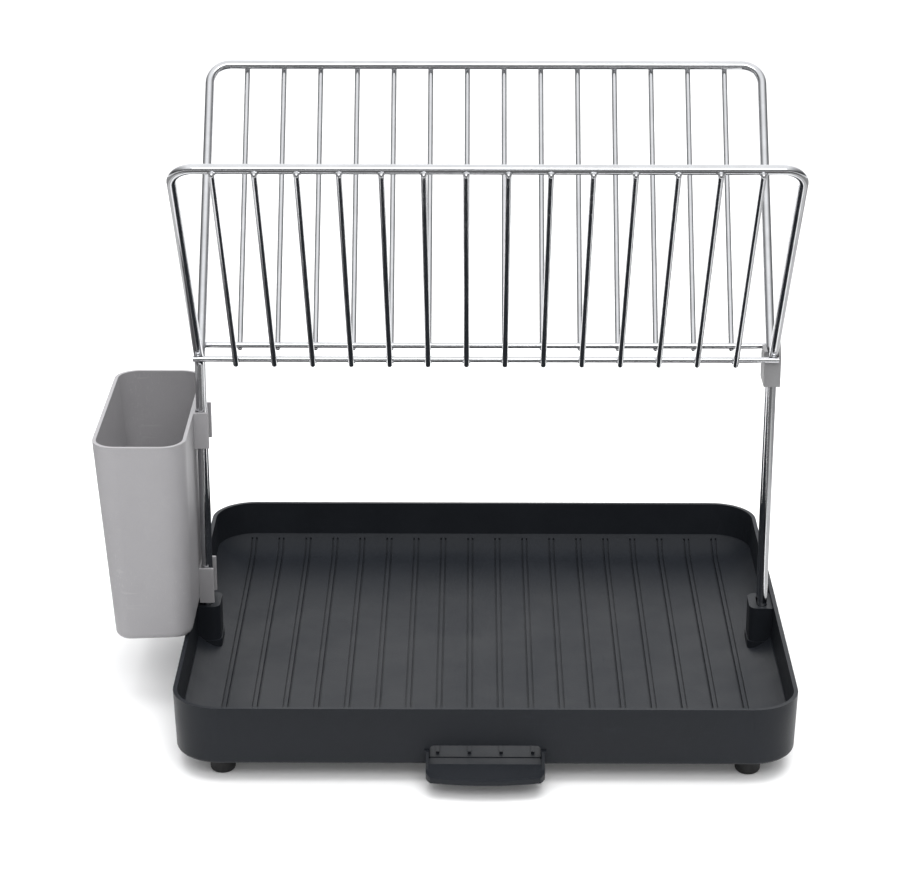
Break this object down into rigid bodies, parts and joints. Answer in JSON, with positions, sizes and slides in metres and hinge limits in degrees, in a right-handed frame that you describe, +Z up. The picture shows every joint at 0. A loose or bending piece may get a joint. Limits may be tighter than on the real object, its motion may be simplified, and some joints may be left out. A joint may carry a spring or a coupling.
{
  "type": "dish drying rack",
  "caption": "Dish drying rack: a V of chrome plate wires on side legs over a ribbed drip tray with a draining spout, with a clip-on cutlery bin at one side.",
  "frame": {"origin": "centre of the whole object's footprint on the resting plane", "axes": "+Z up, front with the spout toward -Y, cutlery bin on the -X side"},
  "size_m": [0.4493, 0.364, 0.3911],
  "materials": {
    "tray_plastic": "satin charcoal moulded plastic",
    "foot_rubber": "matt black rubber",
    "chrome_wire": "bright plated rod and wire",
    "bracket_plastic": "mid-grey moulded plastic",
    "bin_plastic": "light grey satin moulded plastic"
  },
  "bodies": {
    "tray": {"drip_tray": "tray_plastic", "foot_front_left": "foot_rubber", "foot_front_right": "foot_rubber", "foot_rear_left": "foot_rubber", "foot_rear_right": "foot_rubber"},
    "spout": {"draining_spout": "tray_plastic"},
    "rack": {"front_top_rail": "chrome_wire", "front_left_side": "chrome_wire", "front_right_side": "chrome_wire", "front_left_leg": "chrome_wire", "front_right_leg": "chrome_wire", "front_cross_rod": "chrome_wire", "rear_top_rail": "chrome_wire", "rear_left_side": "chrome_wire", "rear_right_side": "chrome_wire", "rear_left_leg": "chrome_wire", "rear_right_leg": "chrome_wire", "rear_cross_rod": "chrome_wire", "junction_bracket": "bracket_plastic", "front_wire_01": "chrome_wire", "front_wire_02": "chrome_wire", "front_wire_03": "chrome_wire", "front_wire_04": "chrome_wire", "front_wire_05": "chrome_wire", "front_wire_06": "chrome_wire", "front_wire_07": "chrome_wire", "front_wire_08": "chrome_wire", "front_wire_09": "chrome_wire", "front_wire_10": "chrome_wire", "front_wire_11": "chrome_wire", "front_wire_12": "chrome_wire", "front_wire_13": "chrome_wire", "front_wire_14": "chrome_wire", "rear_wire_01": "chrome_wire", "rear_wire_02": "chrome_wire", "rear_wire_03": "chrome_wire", "rear_wire_04": "chrome_wire", "rear_wire_05": "chrome_wire", "rear_wire_06": "chrome_wire", "rear_wire_07": "chrome_wire", "rear_wire_08": "chrome_wire", "rear_wire_09": "chrome_wire", "rear_wire_10": "chrome_wire", "rear_wire_11": "chrome_wire", "rear_wire_12": "chrome_wire", "rear_wire_13": "chrome_wire", "rear_wire_14": "chrome_wire"},
    "bin": {"cutlery_bin": "bin_plastic", "upper_clip": "bin_plastic", "lower_clip": "bin_plastic"}
  },
  "joints": [
    {"name": "rack_lift", "type": "slide", "parent": "tray", "child": "rack", "axis": [0, 0, 1], "range_m": [0, 0.12]},
    {"name": "spout_pull", "type": "slide", "parent": "tray", "child": "spout", "axis": [0, -1, 0], "range_m": [0, 0.06]},
    {"name": "bin_unclip", "type": "slide", "parent": "rack", "child": "bin", "axis": [-1, 0, 0], "range_m": [0, 0.06]}
  ]
}
